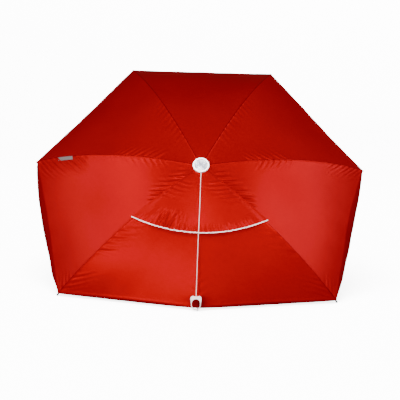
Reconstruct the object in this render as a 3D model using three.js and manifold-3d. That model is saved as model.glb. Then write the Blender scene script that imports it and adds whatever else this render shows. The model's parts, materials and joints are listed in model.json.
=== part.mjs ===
// A seven-rib golf umbrella, open and lying on the floor on its flattened side.
// Everything is drawn in the umbrella's own frame first: the shaft is the z axis, the rib hinges
// are at z = 0, and the canopy and the handle lie towards -z. One outer group then tips the
// umbrella onto three rib tips and the edge of its handle. Millimetres, +Z up.
import * as THREE from 'three';
import { mergeVertices } from 'three/addons/utils/BufferGeometryUtils.js';
import Module from 'manifold-3d';

const wasm = await Module();
wasm.setup();

// ---- driving dimensions -------------------------------------------------------------------

const ribCount = 7;
const tipRadius = 700; // a full rib's end, from the shaft's axis
const tipDrop = 274; // a full rib's end, below the rib hinges
const ribBow = 62; // how far an open rib arches above its chord
const hingeRadius = 14; // the rib and stretcher pivots, from the shaft's axis
const shortRib = 0.723; // the floor-side rib's length, as a share of a full rib
const clipShare = 0.449; // where along a full rib the stretcher is clipped
const clipDrop = 7; // the clip's pin, inside the rib's centre line

const ribRodRadius = 2.2;
const stretcherRodRadius = 1.9;
const bladeThickness = 2.4; // flattened rib and stretcher ends
const wireRadius = 0.9; // the wires that string the ribs and the stretchers
const pinRadius = 1.1;

const shaftRadius = 7.5;
const shaftWall = 1.2;
const crownRadius = 19; // slotted flange of the notch and of the runner
const slotWidth = 3.2;
const sleeveLength = 50;
const catchTravel = 3;

const canopyInner = 4.2; // canopy's inner face, outside the rib's centre line
const canopyThickness = 1;
const canopyStart = 21; // where the cloth starts, from the shaft's axis
const hemShare = 0.994; // where the hem crosses a rib, as a share of that rib
const ventStart = 0.3; // share of the lower gores that the vent leaves open
const flapInner = 6;
const flapThickness = 1;
const flapLift = 9; // gap that the flap's edge keeps over the short rib
const flapSideShare = 0.42; // flap's edge on the two side ribs
const flapMiddleShare = 0.345; // flap's edge over the short rib
const bindingWidth = 4.8;
const bindingThickness = 2.2;

const capRadius = 32;
const capBottom = 7.6;
const cordRadius = 1.4;
const ringWidth = 41;
const ringHeight = 54.5;
const ringThickness = 6;
const ringSocketDepth = 7; // how far the cord's end reaches into the ring
const ringHoleRadius = 14.8;
const ringHoleTop = 13.6; // from the ring's flat top
const ringFootWall = 7.2; // below the hole

const handleLength = 95;
const handleEndRadius = 16.5;
const handleEndChamfer = 2;
const gap = 0.3; // between faces that touch
const pivotGap = 0.4; // around a pin and beside a blade

// ---- colours ------------------------------------------------------------------------------

function material(color, roughness, metalness = 0) {
  return new THREE.MeshStandardMaterial({ color, roughness, metalness });
}

const redCloth = material(0xd8261a, 0.75);
const darkSteel = material(0x3a3b3e, 0.4, 0.8);
const brightSteel = material(0xb9bcc0, 0.3, 0.9);
const blackPlastic = material(0x1c1c1e, 0.55);
const whitePlastic = material(0xeeeeec, 0.35);
const pearlPlastic = material(0xd9dcda, 0.3);
const clearPlastic = material(0xe8eeee, 0.08);
const whiteCord = material(0xf2efec, 0.8);
const greyTape = material(0x8a8c8f, 0.85);
const gripFoam = material(0x26272a, 0.9);
const fibreglass = material(0x2c2d30, 0.45);

// ---- rib line -----------------------------------------------------------------------------

const chordVector = new THREE.Vector2(tipRadius - hingeRadius, -tipDrop);
const chordAngle = chordVector.angle() - 2 * Math.PI;
const arcRadius = (chordVector.lengthSq() / 4 + ribBow ** 2) / (2 * ribBow);
const arcHalfAngle = Math.asin(chordVector.length() / 2 / arcRadius);
const ribLength = 2 * arcHalfAngle * arcRadius;
const arcCentre = new THREE.Vector2(hingeRadius, 0)
  .addScaledVector(chordVector, 0.5)
  .addScaledVector(new THREE.Vector2(-Math.sin(chordAngle), Math.cos(chordAngle)), ribBow - arcRadius);
const gorePitch = (2 * Math.PI) / ribCount;

// Slope of the rib line at a share of a full rib's length.
function ribSlope(share) {
  return chordAngle + arcHalfAngle * (1 - 2 * share);
}

// Point of the rib line in its own plane (x = distance from the shaft, z = height), raised
// outside the line by lift.
function ribPoint(share, lift = 0) {
  const angle = Math.PI / 2 + ribSlope(share);
  const reach = arcRadius + lift;
  return new THREE.Vector3(
    arcCentre.x + reach * Math.cos(angle),
    0,
    arcCentre.y + reach * Math.sin(angle),
  );
}

// Rib 1 is the short one, at the bottom; the numbers run anticlockwise seen from the cap.
function ribAngle(number) {
  return -Math.PI / 2 + (number - 1) * gorePitch;
}

function ribEnd(number) {
  return number === 1 ? shortRib : 1;
}

// ---- linkage: hinge, clip and runner pivots -----------------------------------------------

const clipPin = ribPoint(clipShare, -clipDrop);
const clipReach = Math.hypot(clipPin.x - hingeRadius, clipPin.z);
const runnerHeight = 2 * clipPin.z;

// ---- attitude on the floor ----------------------------------------------------------------

const tipCup = 3.3; // outer radius of the cup that the rib's end sits in
const tipBall = 4.3;
const tipBallLead = 4.8; // the ball's centre, past the rib's end

function tipBallCentre(share) {
  const slope = ribSlope(share);
  return ribPoint(share).add(new THREE.Vector3(Math.cos(slope), 0, Math.sin(slope)).multiplyScalar(tipBallLead));
}

const fullTip = tipBallCentre(1);
const shortTip = tipBallCentre(shortRib);
const axisElevation = Math.atan2(shortTip.x - fullTip.x * Math.cos(gorePitch), shortTip.z - fullTip.z);
const floorDepth = fullTip.x * Math.cos(gorePitch) * Math.cos(axisElevation)
  - fullTip.z * Math.sin(axisElevation) + tipBall;
const handleEndReach = handleEndRadius * Math.cos(axisElevation) - handleEndChamfer * Math.sin(axisElevation);
const handleEnd = -(floorDepth - handleEndReach) / Math.sin(axisElevation);
const handleTop = handleEnd + handleLength;

// ---- solids -------------------------------------------------------------------------------

function signedVolume(position, index) {
  const a = new THREE.Vector3();
  const b = new THREE.Vector3();
  const c = new THREE.Vector3();
  let volume = 0;
  for (let i = 0; i < index.length; i += 3) {
    a.fromBufferAttribute(position, index[i]);
    b.fromBufferAttribute(position, index[i + 1]);
    c.fromBufferAttribute(position, index[i + 2]);
    volume += a.dot(b.cross(c)) / 6;
  }
  return volume;
}

// Merge a closed geometry's vertices, drop its empty triangles and turn its faces outwards.
function solidOf(geometry) {
  const bare = geometry.clone();
  bare.deleteAttribute('normal');
  bare.deleteAttribute('uv');
  const merged = mergeVertices(bare, 1e-4);
  const source = merged.index.array;
  const index = [];
  for (let i = 0; i < source.length; i += 3) {
    const [a, b, c] = [source[i], source[i + 1], source[i + 2]];
    if (a !== b && b !== c && c !== a) index.push(a, b, c);
  }
  if (signedVolume(merged.attributes.position, index) < 0) index.reverse();
  return new wasm.Manifold(new wasm.Mesh({
    numProp: 3,
    vertProperties: new Float32Array(merged.attributes.position.array),
    triVerts: new Uint32Array(index),
  }));
}

function geometryOf(solid) {
  const { vertProperties, triVerts } = solid.getMesh();
  const geometry = new THREE.BufferGeometry();
  geometry.setAttribute('position', new THREE.BufferAttribute(vertProperties, 3));
  geometry.setIndex(new THREE.BufferAttribute(triVerts, 1));
  const flat = geometry.toNonIndexed();
  flat.computeVertexNormals();
  return flat;
}

// A solid of revolution about z, from [radius, height] points.
function turned(profile, segments = 24) {
  const points = profile.map(([radius, height]) => new THREE.Vector2(radius, height));
  return solidOf(new THREE.LatheGeometry(points, segments).rotateX(Math.PI / 2));
}

function closedLoop(points) {
  return [...points, points[0]];
}

function box(low, high) {
  const size = high.map((value, i) => value - low[i]);
  const middle = high.map((value, i) => (value + low[i]) / 2);
  return solidOf(new THREE.BoxGeometry(...size).translate(...middle));
}

// A cylinder along x, y or z, from one coordinate to another.
function rod(axis, from, to, radius, sides, centre = [0, 0, 0]) {
  const geometry = new THREE.CylinderGeometry(radius, radius, to - from, sides);
  geometry.translate(0, (from + to) / 2, 0);
  if (axis === 'x') geometry.rotateZ(-Math.PI / 2);
  if (axis === 'z') geometry.rotateX(Math.PI / 2);
  return solidOf(geometry.translate(...centre));
}

// A plate in the x-z plane, centred on y, from a THREE.Shape drawn as (x, z).
function plate(shape, thickness, y = 0, curveSegments = 5) {
  const geometry = new THREE.ExtrudeGeometry(shape, { depth: thickness, bevelEnabled: false, curveSegments });
  geometry.translate(0, 0, -thickness / 2).rotateX(Math.PI / 2);
  return solidOf(geometry.translate(0, y, 0));
}

// A flattened end: a bar along +x with a round end and an eye at its start.
function eyedBar(endRadius, eyeRadius, length) {
  const shape = new THREE.Shape();
  shape.moveTo(length, -endRadius);
  shape.lineTo(length, endRadius);
  shape.lineTo(0, endRadius);
  shape.absarc(0, 0, endRadius, Math.PI / 2, (3 * Math.PI) / 2, false);
  shape.closePath();
  const eye = new THREE.Path();
  eye.absarc(0, 0, eyeRadius, 0, 2 * Math.PI, true);
  shape.holes.push(eye);
  return shape;
}

function joined(first, ...others) {
  return others.reduce((sum, other) => sum.add(other), first);
}

function cut(first, ...others) {
  return others.reduce((rest, other) => rest.subtract(other), first);
}

// A closed sheet over a grid of cells: outerAt and innerAt give a point for a row and a column,
// and hasCell says which cells hold cloth.
function sheet(rowCount, columnCount, outerAt, innerAt, hasCell = () => true) {
  const points = [];
  const quad = (a, b, c, d) => points.push(a, b, c, a, c, d);
  const filled = (row, column) => row >= 0 && row < rowCount && column >= 0 && column < columnCount
    && hasCell(row, column);
  for (let row = 0; row < rowCount; row++) {
    for (let column = 0; column < columnCount; column++) {
      if (!filled(row, column)) continue;
      const corners = [[row, column], [row + 1, column], [row + 1, column + 1], [row, column + 1]];
      const outer = corners.map(([r, c]) => outerAt(r, c));
      const inner = corners.map(([r, c]) => innerAt(r, c));
      quad(outer[0], outer[1], outer[2], outer[3]);
      quad(inner[3], inner[2], inner[1], inner[0]);
      const neighbours = [[row, column - 1], [row + 1, column], [row, column + 1], [row - 1, column]];
      neighbours.forEach(([r, c], side) => {
        const next = (side + 1) % 4;
        if (!filled(r, c)) quad(outer[side], inner[side], inner[next], outer[next]);
      });
    }
  }
  return solidOf(new THREE.BufferGeometry().setFromPoints(points));
}

// ---- scene graph --------------------------------------------------------------------------

const umbrella = new THREE.Group();
const cordNodes = ['pull_cord', 'pull_ring'];

function add(name, solid, look, parent = umbrella) {
  const mesh = new THREE.Mesh(geometryOf(solid), look);
  mesh.name = name;
  parent.add(mesh);
  return mesh;
}

// A group whose x-z plane is the plane of one rib.
function ribPlane(number) {
  const group = new THREE.Group();
  group.rotation.z = ribAngle(number);
  umbrella.add(group);
  return group;
}

const ribPlanes = new Map();
for (let number = 1; number <= ribCount; number++) ribPlanes.set(number, ribPlane(number));

// ---- shaft, stop pin and the two catches --------------------------------------------------

const sleeveBottom = runnerHeight - 5 - sleeveLength;
const topCatchTop = sleeveBottom - 0.5;
const bottomCatchTop = handleTop + 42;
const catchLength = 20;
const catchThickness = 2.4;
const catchOuter = shaftRadius + catchTravel;
const stopPinHeight = runnerHeight + 5;
const shaftBottom = handleEnd + 5;

function catchSlot(top) {
  return box(
    [-catchThickness / 2 - gap, 4, top - catchLength - gap],
    [catchThickness / 2 + gap, 9, top + gap],
  );
}

const shaftTube = turned(closedLoop([
  [shaftRadius - shaftWall, shaftBottom],
  [shaftRadius, shaftBottom],
  [shaftRadius, 1.7],
  [shaftRadius - shaftWall, 1.7],
]), 20);
add('shaft_tube', cut(
  shaftTube,
  catchSlot(topCatchTop),
  catchSlot(bottomCatchTop),
  rod('x', -9, 9, 1.2 + gap, 10, [0, 0, stopPinHeight]),
), darkSteel);
add('runner_stop_pin', rod('x', -10.5, 10.5, 1.2, 10, [0, 0, stopPinHeight]), brightSteel);

// A leaf with a flat top that the runner sits on and a slope that it slides down.
function springCatch(top) {
  const shape = new THREE.Shape();
  shape.moveTo(3.5, top);
  shape.lineTo(catchOuter, top);
  shape.lineTo(catchOuter, top - 3);
  shape.lineTo(shaftRadius - 0.6, top - catchLength);
  shape.lineTo(3.5, top - catchLength);
  shape.closePath();
  return plate(shape, catchThickness);
}

const catchPlane = new THREE.Group();
catchPlane.rotation.z = Math.PI / 2;
umbrella.add(catchPlane);
add('top_catch', springCatch(topCatchTop), brightSteel, catchPlane);
add('bottom_catch', springCatch(bottomCatchTop), brightSteel, catchPlane);

// ---- notch and runner: slotted crowns strung on a wire ------------------------------------

function slots(bottom, top) {
  const cutters = [];
  for (let number = 1; number <= ribCount; number++) {
    cutters.push(box([10.8, -slotWidth / 2, bottom], [crownRadius + 6, slotWidth / 2, top])
      .rotate([0, 0, THREE.MathUtils.radToDeg(ribAngle(number))]));
  }
  return cutters;
}

// The wire is a seven-sided ring, straight where it passes through each eye.
function wireRing(height) {
  const corner = hingeRadius / Math.cos(Math.PI / ribCount);
  const geometry = new THREE.TorusGeometry(corner, wireRadius, 8, ribCount);
  return solidOf(geometry.rotateZ(ribAngle(1) + gorePitch / 2).translate(0, 0, height));
}

const wireGroove = wireRadius + gap;
const grooveFloor = hingeRadius - wireGroove;

function crownEdge(height) {
  return [
    [crownRadius, height - 5],
    [crownRadius, height - wireGroove],
    [grooveFloor, height - wireGroove],
    [grooveFloor, height + wireGroove],
    [crownRadius, height + wireGroove],
    [crownRadius, height + 3],
  ];
}

const notch = turned(closedLoop([
  [shaftRadius + gap, -26],
  [11.5, -26],
  [11.5, -5],
  ...crownEdge(0),
  [10, 3],
  [10, capBottom - gap],
  [2.4, capBottom - gap],
  [2.4, 2],
  [shaftRadius + gap, 2],
]), 21);
add('top_notch', cut(notch, ...slots(-5.5, 3.5)), blackPlastic);
add('notch_wire', wireRing(0), brightSteel);

const runnerBore = 8.2;
const runner = turned(closedLoop([
  [runnerBore, sleeveBottom],
  [10.6, sleeveBottom],
  [10.6, runnerHeight - 5],
  ...crownEdge(runnerHeight),
  [runnerBore, runnerHeight + 3],
]), 21);
const catchKeyway = box([-1.8, 7, sleeveBottom - 1], [1.8, catchOuter + 0.6, runnerHeight + 4]);
add('runner_sleeve', cut(
  runner,
  ...slots(runnerHeight - 3.2, runnerHeight + 3.5),
  catchKeyway,
), blackPlastic);
add('runner_wire', wireRing(runnerHeight), brightSteel);

// ---- ribs, clips, tips and stretchers -----------------------------------------------------

class RibCurve extends THREE.Curve {
  constructor(from, to) {
    super();
    this.from = from;
    this.to = to;
  }

  getPoint(share, target = new THREE.Vector3()) {
    return target.copy(ribPoint(THREE.MathUtils.lerp(this.from, this.to, share)));
  }
}

function circleShape(radius, sides) {
  const shape = new THREE.Shape();
  for (let side = 0; side < sides; side++) {
    const angle = (2 * Math.PI * (side + 0.5)) / sides;
    shape[side ? 'lineTo' : 'moveTo'](radius * Math.cos(angle), radius * Math.sin(angle));
  }
  shape.closePath();
  return shape;
}

function tubeAlong(curve, radius, sides, steps) {
  return solidOf(new THREE.ExtrudeGeometry(circleShape(radius, sides), {
    steps,
    extrudePath: curve,
    bevelEnabled: false,
  }));
}

const rodStart = 0.02;

function ribSolid(number) {
  const steps = number === 1 ? 13 : 16;
  const rodPart = tubeAlong(new RibCurve(rodStart, ribEnd(number)), ribRodRadius, 6, steps);
  const blade = plate(eyedBar(2.4, wireRadius + pivotGap, 20), bladeThickness)
    .rotate([0, -THREE.MathUtils.radToDeg(ribSlope(0)), 0])
    .translate([hingeRadius, 0, 0]);
  return joined(rodPart, blade);
}

// The clip grips the rod and holds the stretcher's eye between two ears. Its own x axis runs
// along the rib and its z axis points outwards.
function clipSolid() {
  const ear = new THREE.Shape();
  ear.moveTo(-4, -1);
  ear.lineTo(-2.6, -clipDrop);
  ear.absarc(0, -clipDrop, 2.6, Math.PI, 2 * Math.PI, false);
  ear.lineTo(4, -1);
  ear.closePath();
  const earThickness = 1.6;
  const earMiddle = bladeThickness / 2 + pivotGap + earThickness / 2;
  const pinHalf = earMiddle + earThickness / 4;
  const grip = rod('x', -8, 8, 3.3, 8);
  return cut(
    joined(
      grip,
      plate(ear, earThickness, earMiddle),
      plate(ear, earThickness, -earMiddle),
      rod('y', -pinHalf, pinHalf, pinRadius, 6, [0, 0, -clipDrop]),
    ),
    rod('x', -9, 9, ribRodRadius + 0.4, 8),
  );
}

// A cup over the rib's end, with a ball in front. Its own x axis runs along the rib.
function tipSolid() {
  const bore = ribRodRadius + gap;
  const neck = -Math.acos(tipCup / tipBall); // where the cup meets the ball
  const ball = [];
  for (let step = 0; step <= 4; step++) {
    const angle = THREE.MathUtils.lerp(neck, Math.PI / 2, step / 4);
    ball.push([tipBall * Math.cos(angle), tipBallLead + tipBall * Math.sin(angle)]);
  }
  const profile = [[0, gap], [bore, gap], [bore, -10], [tipCup, -10], ...ball];
  return turned(profile, 8).rotate([0, 90, 0]);
}

// A straight rod with a flattened eye at each end. Its own x axis runs from the clip to the runner.
function stretcherSolid() {
  const clipEye = plate(eyedBar(2.9, pinRadius + pivotGap, 18), bladeThickness);
  const runnerEye = plate(eyedBar(2.6, wireRadius + pivotGap, 20), bladeThickness)
    .rotate([0, 180, 0])
    .translate([clipReach, 0, 0]);
  return joined(clipEye, rod('x', 12, clipReach - 14, stretcherRodRadius, 6), runnerEye);
}

const clipShape = clipSolid();
const tipShape = tipSolid();
const stretcherShape = stretcherSolid();
const stretcherSlope = Math.atan2(runnerHeight - clipPin.z, hingeRadius - clipPin.x);

for (const [number, plane] of ribPlanes) {
  add(`rib_${number}`, ribSolid(number), fibreglass, plane);

  const clip = add(`rib_clip_${number}`, clipShape, blackPlastic, plane);
  clip.position.copy(ribPoint(clipShare));
  clip.rotation.y = -ribSlope(clipShare);

  const tip = add(`rib_tip_${number}`, tipShape, darkSteel, plane);
  tip.position.copy(ribPoint(ribEnd(number)));
  tip.rotation.y = -ribSlope(ribEnd(number));

  const stretcher = add(`stretcher_${number}`, stretcherShape, fibreglass, plane);
  stretcher.position.copy(clipPin);
  stretcher.rotation.y = -stretcherSlope;
}

// ---- canopy: one panel on each rib, reaching half-way across the gores beside it ----------

const startShare = (canopyStart - hingeRadius) / ribLength;
const panelRows = 12;
const halfColumns = 2;
const ventRow = Math.round(ventStart * panelRows);

function neighbourOf(number, side) {
  return ((number - 1 + side + ribCount) % ribCount) + 1;
}

function turnedPoint(point, turns) {
  return point.clone().applyAxisAngle(new THREE.Vector3(0, 0, 1), turns * gorePitch);
}

// Point of a gore's cloth beside a rib, in that rib's plane: down is 0 at the top and 1 at the
// hem, across is 0 on the rib and 1 on the neighbour, and side is -1 or 1.
function gorePoint(number, side, down, across, lift) {
  const share = (rib) => THREE.MathUtils.lerp(startShare, hemShare * ribEnd(rib), down);
  const here = ribPoint(share(number), lift);
  const there = turnedPoint(ribPoint(share(neighbourOf(number, side)), lift), side);
  return here.lerp(there, across);
}

// Half-way across the gore, less half of the slit that keeps two panels apart.
function panelReach(number, side, down) {
  const rib = gorePoint(number, side, down, 0, 0);
  const other = gorePoint(number, side, down, 1, 0);
  return 0.5 - 0.25 / rib.distanceTo(other);
}

function panelSolid(number) {
  const pointAt = (lift) => (row, column) => {
    const down = row / panelRows;
    const offset = column - halfColumns;
    const side = offset < 0 ? -1 : 1;
    const across = (Math.abs(offset) / halfColumns) * panelReach(number, side, down);
    return gorePoint(number, side, down, across, lift);
  };
  const hasCell = (row, column) => {
    const side = column < halfColumns ? -1 : 1;
    const isVented = number === 1 || neighbourOf(number, side) === 1;
    return !isVented || row >= ventRow;
  };
  const outer = pointAt(canopyInner + canopyThickness);
  return sheet(panelRows, 2 * halfColumns, outer, pointAt(canopyInner), hasCell);
}

for (const [number, plane] of ribPlanes) {
  add(`canopy_panel_${number}`, panelSolid(number), redCloth, plane);
}

// ---- vent flap and its white binding: one smooth sheet over the short rib -----------------

function flapEdgeShare(across) {
  const fromMiddle = 2 * across - 1;
  return THREE.MathUtils.lerp(flapMiddleShare, flapSideShare, fromMiddle ** 2);
}

// Point of the flap in the short rib's plane: across runs from 0 on rib 7 to 1 on rib 2, and
// the sheet bends smoothly through the two side ribs and a line raised over the short rib.
function flapPoint(share, across, lift) {
  const edge = flapEdgeShare(across);
  const raise = flapLift * Math.min(1, share / edge) ** 2;
  const left = turnedPoint(ribPoint(share, lift), -1);
  const middle = ribPoint(share, lift + raise);
  const right = turnedPoint(ribPoint(share, lift), 1);
  const weights = [
    2 * (across - 0.5) * (across - 1),
    4 * across * (1 - across),
    2 * across * (across - 0.5),
  ];
  return left.multiplyScalar(weights[0])
    .addScaledVector(middle, weights[1])
    .addScaledVector(right, weights[2]);
}

const flapPieces = [
  { name: 'left', from: 0, to: 0.25, columns: 3, rib: 7 },
  { name: 'middle', from: 0.25, to: 0.75, columns: 6, rib: 1 },
  { name: 'right', from: 0.75, to: 1, columns: 3, rib: 2 },
];
const flapRows = 6;
const flapSlit = 0.002; // half of the slit between two flap pieces, as a share of the width
const shortRibPlane = ribPlanes.get(1);

function flapStrip(piece, rowCount, shareAt, inner, thickness) {
  const pointAt = (lift) => (row, column) => {
    const low = piece.from + (piece.from > 0 ? flapSlit : 0);
    const high = piece.to - (piece.to < 1 ? flapSlit : 0);
    const across = THREE.MathUtils.lerp(low, high, column / piece.columns);
    return flapPoint(shareAt(row, across), across, lift);
  };
  return sheet(rowCount, piece.columns, pointAt(inner + thickness), pointAt(inner));
}

for (const piece of flapPieces) {
  const clothShare = (row, across) => THREE.MathUtils.lerp(startShare, flapEdgeShare(across), row / flapRows);
  const bindingShare = (row, across) => flapEdgeShare(across) + (gap + row * bindingWidth) / ribLength;
  const cloth = flapStrip(piece, flapRows, clothShare, flapInner, flapThickness);
  const binding = flapStrip(piece, 1, bindingShare, flapInner, bindingThickness);
  add(`vent_flap_${piece.name}`, cloth, redCloth, shortRibPlane);
  add(`vent_binding_${piece.name}`, binding, whiteCord, shortRibPlane);
}

// ---- woven label beside rib 6 -------------------------------------------------------------

const labelFrom = 0.728;
const labelTo = 0.831;
const labelWidth = 18;
const labelSolid = sheet(2, 1, ...[7, 6.2].map((lift) => (row, column) => {
  const down = THREE.MathUtils.lerp(labelFrom, labelTo, row / 2);
  const width = gorePoint(6, 1, down, 0, lift).distanceTo(gorePoint(6, 1, down, 1, lift));
  return gorePoint(6, 1, down, (2 + column * labelWidth) / width, lift);
}));
add('woven_label', labelSolid, greyTape, ribPlanes.get(6));

// ---- cap: base, screw, pearl disc and clear dome ------------------------------------------

const recessRadius = 25.4;
const capBase = turned(closedLoop([
  [2.6, capBottom],
  [capRadius - 1, capBottom],
  [capRadius, capBottom + 1],
  [capRadius, capBottom + 6],
  [capRadius - 1, capBottom + 7.8],
  [capRadius - 2.7, capBottom + 8.6],
  [capRadius - 4.6, capBottom + 8.4],
  [recessRadius, capBottom + 7],
  [recessRadius, capBottom + 5.6],
  [23, capBottom + 5.6],
  [23, capBottom + 3],
  [2.6, capBottom + 3],
]), 28);
const cordCentre = capBottom + 1.3;
const cordInner = 24;
const cordExit = box(
  [-cordRadius - 0.5, -capRadius - 2, capBottom - 1],
  [cordRadius + 0.5, -cordInner, cordCentre + cordRadius + 0.4],
);
add('cap_base', cut(capBase, cordExit), whitePlastic);
add('cap_screw', turned([
  [0, -4],
  [2.1, -4],
  [2.1, capBottom + 3 + gap],
  [4.5, capBottom + 3 + gap],
  [4.5, capBottom + 5],
  [0, capBottom + 5],
], 12), brightSteel);
add('cap_pearl_disc', turned([
  [0, capBottom + 5.9],
  [recessRadius - gap, capBottom + 5.9],
  [recessRadius - gap, capBottom + 6.7],
  [0, capBottom + 6.7],
], 32), pearlPlastic);
add('cap_lens', turned([
  [0, capBottom + 7],
  [recessRadius - gap, capBottom + 7],
  [recessRadius - gap, capBottom + 8],
  [20, capBottom + 9.2],
  [10, capBottom + 10.4],
  [0, capBottom + 10.8],
], 32), clearPlastic);

// ---- pull cord and finger ring over the short rib -----------------------------------------

const ringTopShare = 0.659;
const ringAside = -6.6;
const ringLift = canopyInner + canopyThickness + 0.6;
const ringFrame = new THREE.Group();
const ringTangentShare = ringTopShare + ringHeight / 2 / ribLength;
const ringSlope = ribSlope(ringTangentShare);
const ringAlong = new THREE.Vector3(Math.cos(ringSlope), 0, Math.sin(ringSlope));
ringFrame.position
  .copy(ribPoint(ringTangentShare, ringLift + ringThickness / 2))
  .addScaledVector(ringAlong, -ringHeight / 2)
  .setY(ringAside);
ringFrame.rotation.y = -ringSlope;
shortRibPlane.add(ringFrame);

// A flat-topped ring with wide shoulders, drawn with x down the rib and y across it.
function ringSolid() {
  const half = ringWidth / 2;
  const corner = 7;
  const shape = new THREE.Shape();
  shape.moveTo(0, corner - half);
  shape.quadraticCurveTo(0, -half, corner, -half);
  shape.lineTo(ringHeight - half, -half);
  shape.absarc(ringHeight - half, 0, half, -Math.PI / 2, Math.PI / 2, false);
  shape.lineTo(corner, half);
  shape.quadraticCurveTo(0, half, 0, half - corner);
  shape.closePath();
  const holeCentre = ringHeight - ringFootWall - ringHoleRadius;
  const hole = new THREE.Path();
  hole.moveTo(ringHoleTop, -corner);
  hole.lineTo(ringHoleTop, corner);
  hole.quadraticCurveTo(ringHoleTop, ringHoleRadius, ringHoleTop + corner, ringHoleRadius);
  hole.lineTo(holeCentre, ringHoleRadius);
  hole.absarc(holeCentre, 0, ringHoleRadius, Math.PI / 2, -Math.PI / 2, true);
  hole.lineTo(ringHoleTop + corner, -ringHoleRadius);
  hole.quadraticCurveTo(ringHoleTop, -ringHoleRadius, ringHoleTop, -corner);
  shape.holes.push(hole);
  const body = solidOf(new THREE.ExtrudeGeometry(shape, {
    depth: ringThickness,
    bevelEnabled: false,
    curveSegments: 7,
  }).translate(0, 0, -ringThickness / 2));
  const socket = rod('x', -1, ringSocketDepth, cordRadius + gap, 12);
  return cut(body, socket);
}

add('pull_ring', ringSolid(), whitePlastic, ringFrame);

// The ring hangs a little to one side of the short rib, and the cord drifts over to it.
function cordPoint(share, lift, drift) {
  return ribPoint(share, lift).setY(ringAside * drift);
}

// The cord runs from the cap's mouth over the flap and its binding, then down to the ring.
const cordEnd = ringFrame.position.clone().addScaledVector(ringAlong, ringSocketDepth - gap);
const cordRoute = [
  new THREE.Vector3(cordInner + gap, 0, cordCentre),
  new THREE.Vector3(40, 0, cordCentre + 0.6),
  cordPoint(0.1, 11.2, 0.05),
  cordPoint(0.2, 14.2, 0.2),
  cordPoint(0.3, 18.4, 0.45),
  cordPoint(0.35, 21.2, 0.6),
  cordPoint(0.41, 19.5, 0.7),
  cordPoint(0.5, 14.6, 0.85),
  cordPoint(0.6, 10, 0.95),
  ringFrame.position.clone().addScaledVector(ringAlong, -6),
  cordEnd,
];
const cordCurve = new THREE.CatmullRomCurve3(cordRoute, false, 'centripetal');
add('pull_cord', tubeAlong(cordCurve, cordRadius, 8, 72), whiteCord, shortRibPlane);

// ---- handle: collar, foam grip and end cap ------------------------------------------------

const collarLength = 12;
const endCapLength = 12;
const gripTop = handleTop - collarLength - gap;
const gripBottom = handleEnd + endCapLength + gap;
const shaftBore = shaftRadius + gap;
add('handle_collar', turned(closedLoop([
  [shaftBore, handleTop],
  [9.5, handleTop],
  [12.6, handleTop - 3],
  [12.6, handleTop - collarLength],
  [shaftBore, handleTop - collarLength],
])), blackPlastic);
add('handle_grip', turned(closedLoop([
  [shaftBore, gripTop],
  [13, gripTop],
  [14.4, gripTop - 12],
  [14.8, (gripTop + gripBottom) / 2],
  [14.4, gripBottom + 12],
  [15.4, gripBottom],
  [shaftBore, gripBottom],
])), gripFoam);
add('handle_end_cap', turned([
  [0, handleEnd],
  [handleEndRadius - handleEndChamfer, handleEnd],
  [handleEndRadius, handleEnd + handleEndChamfer],
  [handleEndRadius, handleEnd + endCapLength - 2],
  [15.4, handleEnd + endCapLength],
  [shaftBore, handleEnd + endCapLength],
  [shaftBore, shaftBottom - gap],
  [0, shaftBottom - gap],
]), blackPlastic);

// ---- tip the umbrella onto the floor, with its box standing on the origin -----------------

const restingUmbrella = new THREE.Group();
umbrella.rotation.x = Math.PI / 2 - axisElevation;
restingUmbrella.add(umbrella);
restingUmbrella.updateMatrixWorld(true);
const bounds = new THREE.Box3();
umbrella.traverse((item) => {
  if (item.isMesh && !cordNodes.includes(item.name)) bounds.expandByObject(item, true);
});
umbrella.position.set(
  -(bounds.min.x + bounds.max.x) / 2,
  -(bounds.min.y + bounds.max.y) / 2,
  -bounds.min.z,
);

export default restingUmbrella;
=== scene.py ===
"""Looks of the golf umbrella: cloth canopy, vent flap, pull cord, cap and materials, in metres."""
import json
import math

import bpy
import numpy as np
from mathutils import Matrix, Vector


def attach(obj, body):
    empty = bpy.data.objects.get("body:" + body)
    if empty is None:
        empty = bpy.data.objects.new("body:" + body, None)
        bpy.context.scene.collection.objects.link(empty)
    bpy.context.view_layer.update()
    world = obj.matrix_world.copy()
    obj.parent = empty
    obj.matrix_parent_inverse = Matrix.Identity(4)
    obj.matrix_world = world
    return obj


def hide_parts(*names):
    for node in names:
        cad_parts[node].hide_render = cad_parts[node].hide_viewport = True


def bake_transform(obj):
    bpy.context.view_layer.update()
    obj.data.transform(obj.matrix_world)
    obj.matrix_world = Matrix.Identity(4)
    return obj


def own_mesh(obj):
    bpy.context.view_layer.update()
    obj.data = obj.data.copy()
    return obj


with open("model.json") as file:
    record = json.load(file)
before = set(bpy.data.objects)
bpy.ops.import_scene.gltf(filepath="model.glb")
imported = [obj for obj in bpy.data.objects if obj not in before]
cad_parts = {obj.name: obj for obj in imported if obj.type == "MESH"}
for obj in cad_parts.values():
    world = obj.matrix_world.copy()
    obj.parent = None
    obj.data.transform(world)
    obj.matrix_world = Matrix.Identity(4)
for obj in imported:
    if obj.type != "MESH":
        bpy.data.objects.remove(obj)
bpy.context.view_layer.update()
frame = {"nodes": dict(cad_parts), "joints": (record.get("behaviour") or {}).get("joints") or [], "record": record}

# ---- the umbrella's own frame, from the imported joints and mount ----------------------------

RIBS = 7
PITCH = 2 * math.pi / RIBS
JOINTS = {joint["name"]: joint for joint in frame["joints"]}
HINGES = ["canopy_fold" if number == 4 else f"rib_{number}_hinge" for number in range(1, RIBS + 1)]
HUB = np.mean([JOINTS[name]["pos_m"] for name in HINGES], axis=0)
AXIS = -np.array(frame["record"]["mounts"][0]["axis"])  # along the shaft, out of the cap
ACROSS = np.array([1.0, 0.0, 0.0])
UPWARD = np.cross(AXIS, ACROSS)
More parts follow.
